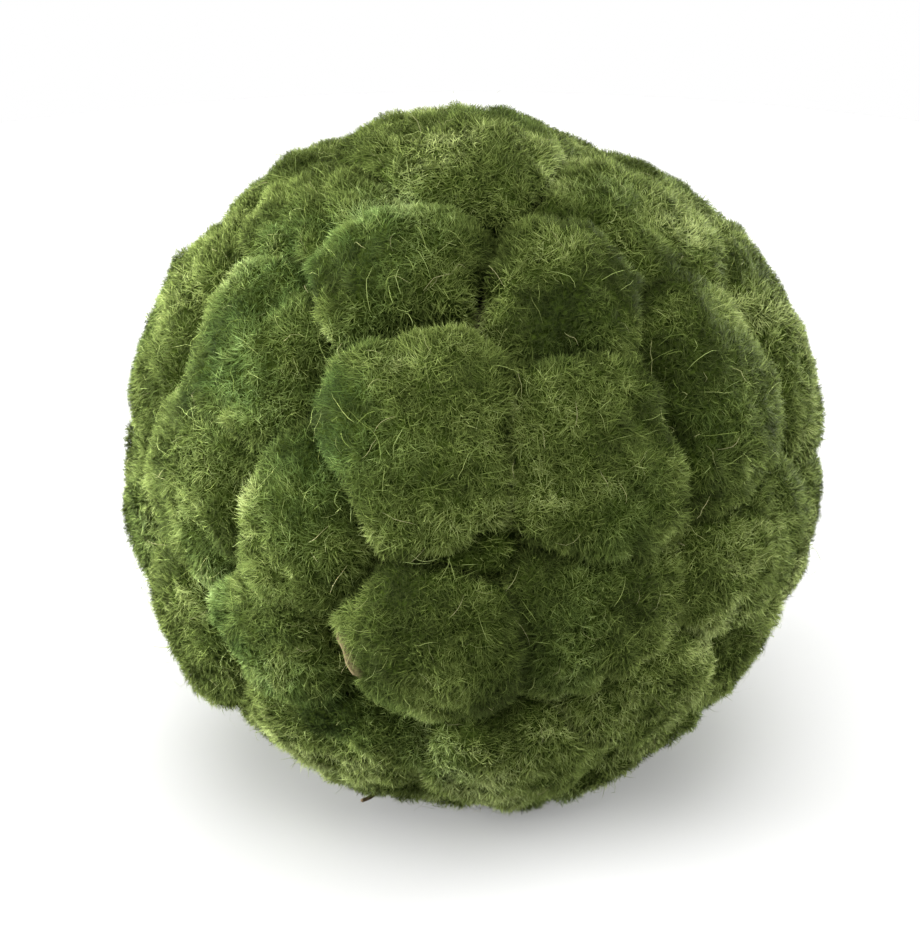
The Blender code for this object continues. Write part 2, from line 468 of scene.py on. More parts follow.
def directions_round(clump, angles, bearings):
    """The directions at these angles from a clump's middle: cos(angle) middle + sin(angle) sideways."""
    middle = direction(clump.azimuth, clump.latitude)
    east, north = axes_at(middle)
    sideways = np.cos(bearings)[..., None] * east + np.sin(bearings)[..., None] * north
    return np.cos(angles)[..., None] * middle + np.sin(angles)[..., None] * sideways


def dome_radius(clump, directions):
    """The crest's radius less RIM_DROP times q to the DOME_POWER, q being the angle over the half size."""
    middle = direction(clump.azimuth, clump.latitude)
    east, north = axes_at(middle)
    angle = np.degrees(np.arccos(np.clip(directions @ middle, -1.0, 1.0)))
    bearing = np.arctan2(directions @ north, directions @ east) - np.radians(clump.turn)
    q = angle * np.hypot(np.cos(bearing) / clump.half_width, np.sin(bearing) / clump.half_height)
    return BALL_RADIUS + clump.lift - RIM_DROP * q**DOME_POWER


class Rim(NamedTuple):
    """The outline of a clump: bearings all round, and the angle and the crease's make-up at each of them."""

    bearings: np.ndarray
    angles: np.ndarray
    openness: np.ndarray
    widths: np.ndarray
    depths: np.ndarray


def openness_between(name, other):
    """As the list of borders has it, or else drawn from the other borders' choices, the same each time."""
    first, second = sorted((name, other))
    drawn = random.Random(f"{first} {second}").choice(OTHER_BORDERS)
    return BORDERS.get(first, {}).get(second, BORDERS.get(second, {}).get(first, drawn))


def claim(name, directions):
    """The radius with which a clump claims its place on the ball: that of its dome, with a wavy edge."""
    clump = CLUMPS[name]
    seed = abs(1000 + int(10 * clump.azimuth + 100 * clump.latitude))
    return dome_radius(clump, directions) + ripple(directions * BALL_RADIUS, *WANDER, seed)


def height_over(name, other):
    """How far another clump's edge stands over this one's, below zero where this one has the lip."""
    if (name, other) in LIPS:
        return -LIP_HEIGHT
    if (other, name) in LIPS:
        return LIP_HEIGHT
    return CLUMPS[other].lift - CLUMPS[name].lift


def are_near(name, other):
    """Whether the middles of two clumps are so near each other that the clumps may touch."""
    first, second = (direction(CLUMPS[clump].azimuth, CLUMPS[clump].latitude) for clump in (name, other))
    return first @ second > np.cos(np.radians(TOUCHING_WITHIN))


def smoothed(values, shifts):
    """Each value round the rim, averaged with the two that are a shift away, once for each shift."""
    for shift in shifts:
        values = (np.roll(values, shift) + values + np.roll(values, -shift)) / 3
    return values


def rim_of(name):
    """A clump ends where a neighbour's claim is first the stronger, or just before that at an open crease.

    Where it is the lower of the two, the crease is wider on its side: it lies under the lip of the other.
    """
    bearings = np.linspace(0.0, 2 * np.pi, RIM_SECTORS, endpoint=False)
    angles = np.radians(np.linspace(0.0, WIDEST_CLUMP, RIM_STEPS))
    directions = directions_round(CLUMPS[name], angles[:, None], bearings[None, :])
    others = [other for other in CLUMPS if other != name and are_near(name, other)]
    claims = np.array([claim(other, directions) for other in others])
    ahead = claim(name, directions) - claims.max(axis=0)
    lost = np.argmax(ahead < 0.0, axis=0)
    columns = np.arange(RIM_SECTORS)
    before, after = ahead[lost - 1, columns], ahead[lost, columns]
    crossing = angles[lost - 1] + (angles[lost] - angles[lost - 1]) * before / (before - after)
    nearest = claims.argmax(axis=0)[lost, columns]
    openness = smoothed(np.array([openness_between(name, other) for other in others])[nearest], SMOOTHING)
    lower = np.array([height_over(name, other) for other in others])[nearest]
    widths = smoothed(CREASE_WIDTH * 2.0 ** np.clip(lower / LIP_HEIGHT, *LIP_RANGE), SMOOTHING)
    edge = directions_round(CLUMPS[name], crossing, bearings)
    beyond = np.array([tips_radius(CLUMPS[other], edge, openness) for other in others])[nearest, columns]
    step = np.maximum(tips_radius(CLUMPS[name], edge, openness) - beyond, 0.0)
    gap = OPEN_GAP * np.clip(openness - GAP_FROM, 0.0, 1.0)
    depths = CREASE_DEPTH * openness + smoothed(step, SMOOTHING[:-1])
    return Rim(bearings, crossing - gap / BALL_RADIUS, openness, widths, depths)


def on_rim(rim, values, bearings):
    """What these values, given for the rim's own bearings, come to at other bearings."""
    return np.interp(bearings, rim.bearings, values, period=2 * np.pi)


def waves(points, wavelength, seed, count=12):
    """Smooth noise of about unit strength: a sum of sines that run in random directions through space."""
    draw = np.random.default_rng(seed)
    headings = unit(draw.normal(size=(count, 3)))
    rates = 2 * np.pi / wavelength * draw.uniform(0.6, 1.5, count)
    phases = draw.uniform(0.0, 2 * np.pi, count)
    return np.sin(points @ (headings * rates[:, None]).T + phases).sum(axis=-1) * np.sqrt(2.0 / count)


def ripple(points, strength, wavelength, seed):
    """Waves of this strength."""
    return strength * waves(points, wavelength, seed)


def breeze(points, strength, wavelength, seed):
    """Waves of this strength in each of the three directions of space."""
    return np.stack([ripple(points, strength, wavelength, seed + axis) for axis in range(3)], axis=1)


def amount_at(places, directions):
    """What the places have between them here: the sum of amount times exp(-(angle / across) squared)."""
    total = np.zeros(directions.shape[:-1])
    for place in places:
        near = directions @ direction(place.azimuth, place.latitude)
        angle = np.degrees(np.arccos(np.clip(near, -1.0, 1.0)))
        total += place.amount * np.exp(-((angle / place.across) ** 2))
    return total


def unevenness(directions):
    """How far the moss swells above or sinks below its dome."""
    swell = sum(ripple(directions * BALL_RADIUS, *noise) for noise in UNEVENNESS)
    return swell + amount_at(SWELLS, directions)


def tips_radius(clump, directions, openness):
    """The tips over the middle of a clump: the dome of the solid, flatter the less open its crease is."""
    crest = BALL_RADIUS + clump.lift
    share = np.clip(CLOSED_FALL + (OPEN_FALL - CLOSED_FALL) * openness, CLOSED_FALL, MOST_FALL)
    return crest + PILE_OVER_DOME - share * (crest - dome_radius(clump, directions)) + unevenness(directions)


def skin(clump, rim, angles, bearings, depth=0.0):
    """Points at a depth below the tips of the moss, at these angles from the clump's middle.

    Towards the rim the tips roll down by the crease's depth times exp(-distance to the rim / crease's width).
    """
    directions = directions_round(clump, angles, bearings)
    room = (on_rim(rim, rim.angles, bearings) - angles) * BALL_RADIUS
    ragged = np.clip(1.0 + ripple(directions * BALL_RADIUS, *CREASE_RAGGED), *CREASE_RAGGED_RANGE)
    fall = np.exp(-np.maximum(room, 0.0) / on_rim(rim, rim.widths, bearings))
    roll = on_rim(rim, rim.depths, bearings) * ragged * fall
    tips = tips_radius(clump, directions, on_rim(rim, rim.openness, bearings))
    radius = np.maximum(tips - roll, BALL_RADIUS - DEEPEST_CREASE)
    down = np.maximum(-directions[..., 2], 1e-9)
    radius = np.minimum(radius, (MIDDLE[2] - FLOOR_GAP) / down) - depth
    return directions * radius[..., None]


def skin_normals(clump, rim, angles, bearings):
    """The outward normals of the skin, from its slopes along and across the bearing."""
    angles = np.maximum(angles, SLOPE_STEP)
    turn = SLOPE_STEP / np.sin(angles)
    along = skin(clump, rim, angles + SLOPE_STEP, bearings) - skin(clump, rim, angles - SLOPE_STEP, bearings)
    across = skin(clump, rim, angles, bearings + turn) - skin(clump, rim, angles, bearings - turn)
    return unit(np.cross(along, across))


# Meshes

# reach runs from a shoot's root to its tip; through the root-to-tip ramp it paints shade at the roots and
# light at the tips, as well as the moss's own browner base and paler tips
MARKS = ("reach", "tone", "cool", "dry")
BED, SHOOTS = 0, 1  # the finishes of a clump


class Part(NamedTuple):
    """Triangles, their corners in the bake map, the points' normals and marks, and which finish they have."""

    points: np.ndarray
    faces: np.ndarray
    corner_map: np.ndarray
    normals: np.ndarray
    marks: np.ndarray
    finish: int = 0


def marks_of(count, **given):
    """What the materials read at each of so many points, 0 for a mark that isn't given."""
    return np.stack([np.broadcast_to(given.get(mark, 0.0), count) for mark in MARKS], axis=1)


def circle(turns):
    """The points of a unit circle at these turns (radians)."""
    return np.stack([np.cos(turns), np.sin(turns)], axis=1)


def bands_between(starts, sectors):
    """The triangles between each ring of points and the next, two for each step round."""
    k = np.arange(sectors)
    after = (k + 1) % sectors
    bands = [
        np.stack([inner + k, outer + k, outer + after, inner + k, outer + after, inner + after], axis=1)
        for inner, outer in zip(starts, starts[1:])
    ]
    return np.concatenate(bands).reshape(-1, 3)


def smooth_normals(points, faces):
    """At each point, the unit sum of its faces' normals, each as long as the face is large."""
    first, second, third = (points[faces[:, corner]] for corner in range(3))
    across = np.cross(second - first, third - first)
    total = np.stack(
        [np.bincount(faces.ravel(), np.repeat(across[:, axis], 3), len(points)) for axis in range(3)], axis=1
    )
    return unit(total)


def add_piece(name, parts, finishes):
    """Joins parts into one mesh, in its place in the frame, and lets it ride on the ball."""
    starts = np.cumsum([0] + [len(part.points) for part in parts[:-1]])
    points = np.concatenate([part.points for part in parts]) + MIDDLE
    faces = np.concatenate([part.faces + start for part, start in zip(parts, starts)])
    mesh = bpy.data.meshes.new(name)
    mesh.vertices.add(len(points))
    mesh.loops.add(faces.size)
    mesh.polygons.add(len(faces))
    mesh.vertices.foreach_set("co", points.astype(np.float32).ravel())
    mesh.loops.foreach_set("vertex_index", faces.astype(np.int32).ravel())
    mesh.polygons.foreach_set("loop_start", np.arange(0, faces.size, 3, dtype=np.int32))
    mesh.update(calc_edges=True)
    corner_map = np.concatenate([part.corner_map for part in parts])
    mesh.uv_layers.new(name="OFBake").data.foreach_set("uv", corner_map.astype(np.float32).ravel())
    for finish in finishes:
        mesh.materials.append(finish)
    finish_of_face = np.repeat([part.finish for part in parts], [len(part.faces) for part in parts])
    mesh.polygons.foreach_set("material_index", finish_of_face.astype(np.int32))
    marks = np.concatenate([part.marks for part in parts])
    for column, mark in enumerate(MARKS):
        layer = mesh.attributes.new(mark, "FLOAT", "POINT")
        layer.data.foreach_set("value", marks[:, column].astype(np.float32))
    mesh.shade_smooth()
    normals = np.concatenate([part.normals for part in parts])
    mesh.attributes.new("custom_normal", "FLOAT_VECTOR", "POINT").data.foreach_set(
        "vector", normals.astype(np.float32).ravel()
    )
    piece = bpy.data.objects.new(name, mesh)
    bpy.context.scene.collection.objects.link(piece)
    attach(piece, "root")
    return piece


def bare_share(name, bearings):
    """1 where the edge of a clump's backing is bare, and 0 elsewhere, with soft ends."""
    if name not in BARE_EDGES:
        return np.zeros_like(bearings)
    first, last = BARE_EDGES[name]
    degrees = np.degrees(bearings) % 360
    return np.clip((degrees - first) / BARE_ENDS, 0, 1) * np.clip((last - degrees) / BARE_ENDS, 0, 1)


def bed_of(name, clump, rim):
    """The bed: rings of the skin at the bed's depth, a wall down, and a foot on the inner ball.

    Where the edge of the backing is bare, the bed rises from three quarters of its reach to the rim.
    """
    around = np.linspace(0.0, 2 * np.pi, BED_SECTORS, endpoint=False)
    reach = on_rim(rim, rim.angles, around) - BED_GAP / BALL_RADIUS
    angles = BED_RINGS[:, None] * reach[None, :]
    rings = skin(clump, rim, angles, np.broadcast_to(around, angles.shape), BED_DEPTH)
    bare = np.clip(BED_RINGS[:, None] * 4 - 3, 0, 1) * bare_share(name, around)[None, :]
    rings += unit(rings) * (BARE_HEIGHT * bare)[..., None]
    foot = unit(rings[-1]) * INNER_RADIUS
    crest = skin(clump, rim, np.zeros(1), np.zeros(1), BED_DEPTH)
    underside = direction(clump.azimuth, clump.latitude) * INNER_RADIUS
    points = np.concatenate([crest, rings.reshape(-1, 3), foot, underside[None]])
    ring_count = len(BED_RINGS) + 1
    k = np.arange(BED_SECTORS)
    after = (k + 1) % BED_SECTORS
    starts = 1 + BED_SECTORS * np.arange(ring_count)
    top = np.stack([np.zeros_like(k), 1 + k, 1 + after], axis=1)
    base = np.stack([np.full_like(k, len(points) - 1), starts[-1] + after, starts[-1] + k], axis=1)
    faces = np.concatenate([top, bands_between(starts, BED_SECTORS), base])
    out = np.concatenate([[0.0], np.repeat([*BED_RINGS, DISC_FOOT], BED_SECTORS), [0.0]]) / DISC_FOOT
    turned = np.concatenate([[0.0], np.tile(around, ring_count), [0.0]])
    disc = DISC_RADIUS * out[:, None] * circle(turned)
    corner_map = disc[faces] + DISC_MIDDLE
    corner_map[-BED_SECTORS:, :, 0] += 2 * DISC_MIDDLE
    marks = marks_of(len(points), dry=np.concatenate([[0.0], bare.ravel(), bare[-1], [0.0]]))
    return Part(points, faces, corner_map.reshape(-1, 2), smooth_normals(points, faces), marks, BED)


def pile_of(name, clump, rim, growth, share, seed):
    """The pile: straight blades of one triangle, or bent shoots of two, that lean every which way.

    The nearer one is to the rim, the more it also leans away from the whorl of its clump. It starts at one
    steepness, goes on at another, and is as long as its height and its steepness ask.
    """
    draw = np.random.default_rng(seed)
    wanted = int(growth.count * share)
    tries = int(TRIES_EACH * wanted) + SPARE_TRIES
    bearings = draw.uniform(0.0, 2 * np.pi, tries)
    shares = np.sqrt(draw.uniform(0.0, 1.0, tries))
    reach = on_rim(rim, rim.angles, bearings)
    room = (1.0 - shares) * reach * BALL_RADIUS
    crowding = 1.0 + RIM_CROWDING * np.exp(-room / CREASE_WIDTH)
    chance = (reach / rim.angles.max()) ** 2 * crowding / (1.0 + RIM_CROWDING)
    chance *= np.where((bare_share(name, bearings) > 0) & (room < BARE_WIDTH), BARE_PILE, 1.0)
    kept = np.flatnonzero(draw.uniform(0.0, 1.0, tries) < chance)[:wanted]
    count = len(kept)
    bearings, shares, reach, room = bearings[kept], shares[kept], reach[kept], room[kept]
    angles = shares * reach
    roots = skin(clump, rim, angles, bearings, ROOT_DEPTH)
    directions = unit(roots)
    normals = unit(SKIN_SHARE * skin_normals(clump, rim, angles, bearings) + (1.0 - SKIN_SHARE) * directions)
    places = directions * BALL_RADIUS
    half_size = np.radians((clump.half_width + clump.half_height) / 2)
    offset = half_size * draw.uniform(*WHORL_OFFSETS)
    heading = draw.uniform(0, 2 * np.pi)
    swirl = draw.uniform(-SWIRL, SWIRL)
    whorl = directions_round(clump, np.array(offset), np.array(heading))
    if name in WHORLS:
        whorl = direction(*WHORLS[name])

    def along_surface(vectors):
        return vectors - (vectors * normals).sum(axis=-1, keepdims=True) * normals

    away = along_surface(directions - whorl)
    distance = np.linalg.norm(away, axis=-1, keepdims=True) / half_size
    away = unit(away)
    comb = unit(away + swirl * np.cross(normals, away)) * np.clip(distance, 0.0, 1.0)
    loose = draw.normal(size=(count, 3))
    lean = COMBED * comb + breeze(places, *DRIFT) + breeze(places, *TUFT) + LOOSE * loose
    lean = unit(along_surface(lean))
    twisted = unit(lean + TWIST * along_surface(draw.normal(size=(count, 3))))
    rising = np.radians(draw.uniform(*growth.rising, count))[:, None]
    lying = rising * draw.uniform(*growth.lying, count)[:, None]
    start = np.sin(rising) * normals + np.cos(rising) * lean
    finish = np.sin(lying) * normals + np.cos(lying) * twisted
    rise = (0.5 * (start + finish) * normals).sum(axis=-1)
    stature = draw.triangular(*STATURES, count)
    height = BED_DEPTH * growth.stature * stature * (1.0 - RIM_SHORTER * np.exp(-room / CREASE_WIDTH))
    length = np.clip(height / np.maximum(rise, LEAST_RISE), *LENGTHS)[:, None]
    middle = roots + 0.5 * length * start
    tip = middle + 0.5 * length * finish
    side = unit(np.cross(finish, normals + growth.spread * draw.normal(size=(count, 3))))
    side *= np.where((np.cross(side, finish) * normals).sum(axis=-1, keepdims=True) < 0.0, -1.0, 1.0)
    faced = unit(SOFTNESS * normals + (1.0 - SOFTNESS) * np.cross(side, finish))
    half = 0.5 * growth.width * draw.uniform(*WIDTHS, count)[:, None] * side
    if growth.leaf is BENT:
        points = np.stack([roots, middle - half, middle + half, tip], axis=1).reshape(-1, 3)
    else:
        points = np.stack([roots - half, roots + half, tip], axis=1).reshape(-1, 3)
    points[:, 2] = np.maximum(points[:, 2], FLOOR_GAP - MIDDLE[2])
    corners, along, leaf_chart = (np.array(values) for values in growth.leaf[:3])
    size = len(along)
    faces = (size * np.arange(count)[:, None, None] + corners).reshape(-1, 3)
    columns = int(np.ceil(np.sqrt(count / SHELF_HEIGHT)))
    place = np.stack([np.arange(count) % columns, np.arange(count) // columns], axis=1)
    chart = (place[:, None, :] + leaf_chart).reshape(-1, 2) / columns + (0.0, growth.leaf.shelf)
    tone = sum((ripple(places, *noise) for noise in TONE_WAVES), TONE_MIDDLE)
    tone += TONE_SCATTER * draw.normal(size=count) + TONE_BY_STATURE * (stature - np.mean(STATURES))
    # the places add painted light and painted shade to the tone, as well as paler and darker moss
    tone += amount_at(TONE_LIGHT_AND_SHADE_PLACES, directions) * (1.0 + ripple(places, *TONE_RAGGED))
    cool = cool_share(directions) + COOL_SCATTER * draw.normal(size=count)
    marks = marks_of(
        size * count, reach=np.tile(along, count), tone=np.repeat(tone, size), cool=np.repeat(cool, size)
    )
    return Part(points, faces, chart[faces].reshape(-1, 2), np.repeat(faced, size, axis=0), marks, SHOOTS)


def cool_share(directions):
    """From 0 to 1, how blue the green is: near the middle of a patch, or on a crest of the widest waves."""
    points = directions * BALL_RADIUS
    crests = COOL_ON_CREST * np.clip(waves(points, *COOL_WAVES) - COOL_CREST, 0.0, 1.0)
    patches = amount_at(COOL_PLACES, directions) * (1.0 + ripple(points, *COOL_RAGGED))
    return np.clip(crests + patches, 0.0, 1.0)


def strays_of(clump, rim, count, seed):
    """Long shoots that lie in loose curls on the tips of the pile, and now and then one that stands off it.

    A stray's path is walked in equal steps along the ball, its heading turning evenly as it goes. It comes up
    out of the pile, over the highest of the tips below it, and the ribbon narrows to a point.
    """
    draw = np.random.default_rng(seed)
    share = np.sqrt(draw.uniform(0.0, STRAYS_WITHIN, count))
    bearings = draw.uniform(0.0, 2 * np.pi, count)
    roots = directions_round(clump, share * on_rim(rim, rim.angles, bearings), bearings)
    east, north = axes_at(roots)
    t = np.linspace(0.0, 1.0, STRAY_STEPS + 1)
    length = draw.uniform(*STRAY_LENGTHS, count)[:, None]
    heading = draw.uniform(0.0, 2 * np.pi, count)[:, None] + draw.normal(0.0, STRAY_TURN, count)[:, None] * t
    phase = draw.uniform(0, 1, count)[:, None]
    heading = heading + STRAY_WIGGLE * np.sin(2 * np.pi * (STRAY_WIGGLES * t + phase))
    steps = length / STRAY_STEPS / BALL_RADIUS
    across = np.cumsum(np.cos(heading) * steps, axis=1)[..., None]
    along = np.cumsum(np.sin(heading) * steps, axis=1)[..., None]
    directions = unit(roots[:, None, :] + across * east[:, None, :] + along * north[:, None, :])
    crests = np.max([tips_radius(other, directions, openness=0.5) for other in CLUMPS.values()], axis=0)
    stands = draw.uniform(0, 1, count) < STANDING_SHARE
    standing = np.where(stands, draw.uniform(*STANDING_HEIGHTS, count), 0.0)[:, None]
    lying = draw.uniform(*LYING_HEIGHTS, count)[:, None]
    height = -STRAY_ROOT + (STRAY_ROOT + lying) * np.clip(3.0 * t, 0, 1) + standing * t
    path = directions * (crests + height)[..., None]
    path[..., 2] = np.maximum(path[..., 2], FLOOR_GAP - MIDDLE[2])
    forward = unit(np.gradient(path, axis=1))
    tilt = draw.uniform(-STRAY_TILT, STRAY_TILT, count)[:, None, None]
    flat = unit(np.cross(directions, forward))
    side = flat * np.cos(tilt) + np.cross(forward, flat) * np.sin(tilt)
    taper = np.sqrt(np.clip(1.0 - t**3, 0.0, 1.0))
    half = 0.5 * STRAY_WIDTH * draw.uniform(*STRAY_WIDTHS, count)[:, None] * taper
    left, right = path - side * half[..., None], path + side * half[..., None]
    pairs = np.stack([left[:, :-1], right[:, :-1]], axis=2).reshape(count, -1, 3)
    points = np.concatenate([pairs, path[:, -1:]], axis=1).reshape(-1, 3)
    size = 2 * STRAY_STEPS + 1
    k = 2 * np.arange(STRAY_STEPS - 1)[:, None]
    ladder = np.concatenate([k + [0, 1, 3], k + [0, 3, 2], [[size - 3, size - 2, size - 1]]])
    faces = (size * np.arange(count)[:, None, None] + ladder).reshape(-1, 3)
    u = np.append(np.repeat(t[:-1], 2), 1.0)
    v = np.append(np.tile([0.2, 0.8], STRAY_STEPS), 0.5)
    columns = np.broadcast_to(STRAYS_LEFT + STRAYS_ACROSS * u, (count, size))
    rows = (np.arange(count)[:, None] + v) / count * STRAYS_HIGH
    chart = np.stack([columns, rows], axis=-1).reshape(-1, 2)
    marks = marks_of(
        size * count,
        reach=np.tile(0.5 + 0.4 * u, count),
        tone=np.repeat(draw.uniform(*STRAY_TONES, count), size),
        cool=np.repeat(draw.uniform(0.0, STRAY_COOLEST, count), size),
        dry=np.repeat(STRAY_DRIEST * draw.uniform(0.0, 1.0, count) ** DRY_POWER, size),
    )
    return Part(points, faces, chart[faces].reshape(-1, 2), unit(points), marks, SHOOTS)


def twig_part():
    """A tube round the curve through the twig's three points, thinner towards its end, with rough bark.

    Its bake map is a disc with the root end in the middle.
    """
    start, bend, end = np.array(TWIG)
    pull = 2 * bend - (start + end) / 2
    t = np.linspace(0.0, 1.0, TWIG_STEPS)[:, None]
    path = (1 - t) ** 2 * start + 2 * t * (1 - t) * pull + t**2 * end
    forward = unit(np.gradient(path, axis=0))
    side = unit(np.cross(forward, (0.0, 0.0, 1.0)))
    over = np.cross(side, forward)
    around = np.linspace(0.0, 2 * np.pi, TWIG_SECTORS, endpoint=False)[None, :, None]
    spokes = np.cos(around) * side[:, None] + np.sin(around) * over[:, None]
    bark = 1.0 + ripple(path[:, None] + TWIG_RADIUS * spokes, *BARK_RAGGED)
    rings = path[:, None] + spokes * (TWIG_RADIUS * (1.0 - TWIG_TAPER * t) * bark)[..., None]
    points = np.concatenate([rings.reshape(-1, 3), path[:1], path[-1:] + TWIG_TIP * forward[-1:]])
    k = np.arange(TWIG_SECTORS)
    after = (k + 1) % TWIG_SECTORS
    starts = TWIG_SECTORS * np.arange(TWIG_STEPS)
    base = np.stack([np.full_like(k, len(points) - 2), after, k], axis=1)
    tip = np.stack([np.full_like(k, len(points) - 1), starts[-1] + k, starts[-1] + after], axis=1)
    faces = np.concatenate([bands_between(starts, TWIG_SECTORS)[:, ::-1], base, tip])
    turned = np.append(np.tile(around.ravel(), TWIG_STEPS), [0.0, 0.0])
    out = np.append(np.repeat(0.1 + 0.35 * t.ravel(), TWIG_SECTORS), [0.05, 0.48])[:, None]
    corner_map = (0.5 + out * circle(turned))[faces].reshape(-1, 2)
    return Part(points, faces, corner_map, smooth_normals(points, faces), marks_of(len(points)))


# Finishes

WARM = (
    (0.0, (0.035, 0.048, 0.0105)),
    (0.35, (0.089, 0.120, 0.0255)),
    (0.65, (0.178, 0.229, 0.056)),
    (1.0, (0.385, 0.450, 0.165)),
)
COOL = (
    (0.0, (0.020, 0.034, 0.007)),
    (0.35, (0.050, 0.086, 0.017)),
    (0.65, (0.108, 0.172, 0.041)),
    (1.0, (0.260, 0.370, 0.130)),
)
DRY = (0.30, 0.28, 0.15, 1.0)
# How a shoot's colour is multiplied from root to tip: partly the browner base and paler tip of the moss,
# partly painted shade deep in the pile and painted light on the tips
ROOT_TO_TIP_TONE_AND_SHADE = ((0.0, (0.37, 0.37, 0.27)), (0.55, (0.92, 0.93, 0.89)), (1.0, (1.24, 1.23, 1.30)))
MAT = ((0.35, (0.009, 0.015, 0.002)), (0.65, (0.042, 0.064, 0.010)))
BACKING = ((0.3, (0.10, 0.074, 0.040)), (0.7, (0.26, 0.195, 0.115)))
BARK = ((0.35, (0.035, 0.024, 0.014)), (0.65, (0.15, 0.105, 0.055)))
FIBRE = ((0.3, (0.02, 0.014, 0.008)), (0.7, (0.06, 0.042, 0.02)))


def shader_of(name, roughness, specular):
    """A new material of this roughness and specular level, its nodes, its links and its Principled BSDF."""
    finish = bpy.data.materials.new(name)
    finish.use_nodes = True
    tree = finish.node_tree
    shader = tree.nodes["Principled BSDF"]
    shader.inputs["Roughness"].default_value = roughness
    shader.inputs["Specular IOR Level"].default_value = specular
    return finish, tree.nodes, tree.links, shader


def ramp(nodes, stops):
    """A colour ramp through these places and colours."""
    node = nodes.new("ShaderNodeValToRGB")
    elements = node.color_ramp.elements
    while len(elements) < len(stops):
        elements.new(0.5)
    for element, (place, colour) in zip(elements, stops):
        element.position = place
        element.color = (*colour, 1.0)
    return node


def grain(nodes, links, scale, detail, stops):
    """The colours through these stops, as noise of this scale and detail on the object picks them."""
    coords = nodes.new("ShaderNodeTexCoord")
    noise = nodes.new("ShaderNodeTexNoise")
    noise.inputs["Scale"].default_value = scale
    noise.inputs["Detail"].default_value = detail
    links.new(coords.outputs["Object"], noise.inputs["Vector"])
    colours = ramp(nodes, stops)
    links.new(noise.outputs["Fac"], colours.inputs["Fac"])
    return colours.outputs["Color"]


def mark_of(nodes, name):
    """A mark of the points, as a socket."""
    node = nodes.new("ShaderNodeAttribute")
    node.attribute_name = name
    return node.outputs["Fac"]


def by_mark(nodes, links, name, stops):
    """The colours through these stops, as a mark picks them."""
    colours = ramp(nodes, stops)
    links.new(mark_of(nodes, name), colours.inputs["Fac"])
    return colours.outputs["Color"]


def mix(nodes, links, mode, share, first, second):
    """A mix of two colours in this mode, share being a number or a socket."""
    node = nodes.new("ShaderNodeMix")
    node.data_type = "RGBA"
    node.blend_type = mode
    for socket, value in (("Factor", share), ("A", first), ("B", second)):
        entry = next(s for s in node.inputs if s.name == socket and s.enabled)
        if isinstance(value, bpy.types.NodeSocket):
            links.new(value, entry)
        else:
            entry.default_value = value
    return next(s for s in node.outputs if s.enabled)


def same_on_both_sides(nodes, links):
    """The seen normal times 1 - 2 backfacing: the mesh's own, because light shines through a thin leaf."""
    geometry = nodes.new("ShaderNodeNewGeometry")
    sign = nodes.new("ShaderNodeMath")
    sign.operation = "MULTIPLY_ADD"
    links.new(geometry.outputs["Backfacing"], sign.inputs[0])
    sign.inputs[1].default_value = -2.0
    sign.inputs[2].default_value = 1.0
    turned = nodes.new("ShaderNodeVectorMath")
    turned.operation = "SCALE"
    links.new(geometry.outputs["Normal"], turned.inputs[0])
    links.new(sign.outputs[0], turned.inputs["Scale"])
    return turned.outputs["Vector"]


def shoot_finish():
    """Green by the tone, warm or cool, straw where dry, dark at the root and pale at the tip. The tone holds
    painted light and shade from its places, and the darker root and paler tip are partly the moss's own brown
    base and pale growth, partly painted shade deep in the pile and painted light on the tips.
    """
    finish, nodes, links, shader = shader_of("moss shoots", 0.7, 0.04)
    warm, cool = (by_mark(nodes, links, "tone", stops) for stops in (WARM, COOL))
    hue = mix(nodes, links, "MIX", mark_of(nodes, "cool"), warm, cool)
    hue = mix(nodes, links, "MIX", mark_of(nodes, "dry"), hue, DRY)
    colour = mix(nodes, links, "MULTIPLY", 1.0, hue, by_mark(nodes, links, "reach", ROOT_TO_TIP_TONE_AND_SHADE))
    links.new(colour, shader.inputs["Base Color"])
    links.new(same_on_both_sides(nodes, links), shader.inputs["Normal"])
    return finish


def bed_finish():
    """Dark matted moss, and pale fibrous backing where the bed is bare."""
    finish, nodes, links, shader = shader_of("matted moss", 1.0, 0.02)
    mat, backing = (grain(nodes, links, 900.0, 4.0, stops) for stops in (MAT, BACKING))
    links.new(mix(nodes, links, "MIX", mark_of(nodes, "dry"), mat, backing), shader.inputs["Base Color"])
    return finish


def bark_finish():
    """Dark and mid brown in fine grains."""
    finish, nodes, links, shader = shader_of("twig bark", 0.85, 0.2)
    links.new(grain(nodes, links, 700.0, 4.0, BARK), shader.inputs["Base Color"])
    return finish


def dress_clumps():
    """Puts each clump's moss in its place, the shoots shared out by how large the clumps are."""
    finishes = [bed_finish(), shoot_finish()]
    rims = {name: rim_of(name) for name in CLUMPS}
    areas = {name: (rim.angles**2).mean() for name, rim in rims.items()}
    areas["sole"] *= SOLE_GROWTH
    whole = sum(areas.values())
    for number, (name, clump) in enumerate(CLUMPS.items()):
        rim, share = rims[name], areas[name] / whole
        parts = [
            bed_of(name, clump, rim),
            pile_of(name, clump, rim, UPRIGHT, share, seed=100 + number),
            pile_of(name, clump, rim, MATTED, share, seed=200 + number),
            strays_of(clump, rim, int(STRAYS * share), seed=300 + number),
        ]
        piece = add_piece(f"moss_{name}", parts, finishes)
        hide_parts(f"clump_{name}")


def dress_inner_ball():
    """Gives the inner ball, which keeps its own mesh, the brown of packed fibre."""
    finish, nodes, links, shader = shader_of("packed fibre", 0.95, 0.5)
    links.new(grain(nodes, links, 300.0, 2.0, FIBRE), shader.inputs["Base Color"])
    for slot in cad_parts["inner_ball"].material_slots:
        slot.material = finish


# The studio

ELEVATION = 28.0
DISTANCE = 0.650
LENS = 85.0
SENSOR = 36.0
CLIP_START = 0.01
AIM_LEFT = 0.00303
AIM_DOWN = 0.00419
SKY = 0.1  # how strongly the sky lights the scene; where the camera sees it, it is white
FLOOR_RADIUS = 0.62
FLOOR_SECTORS = 96
FLOOR_WHITE = 0.58
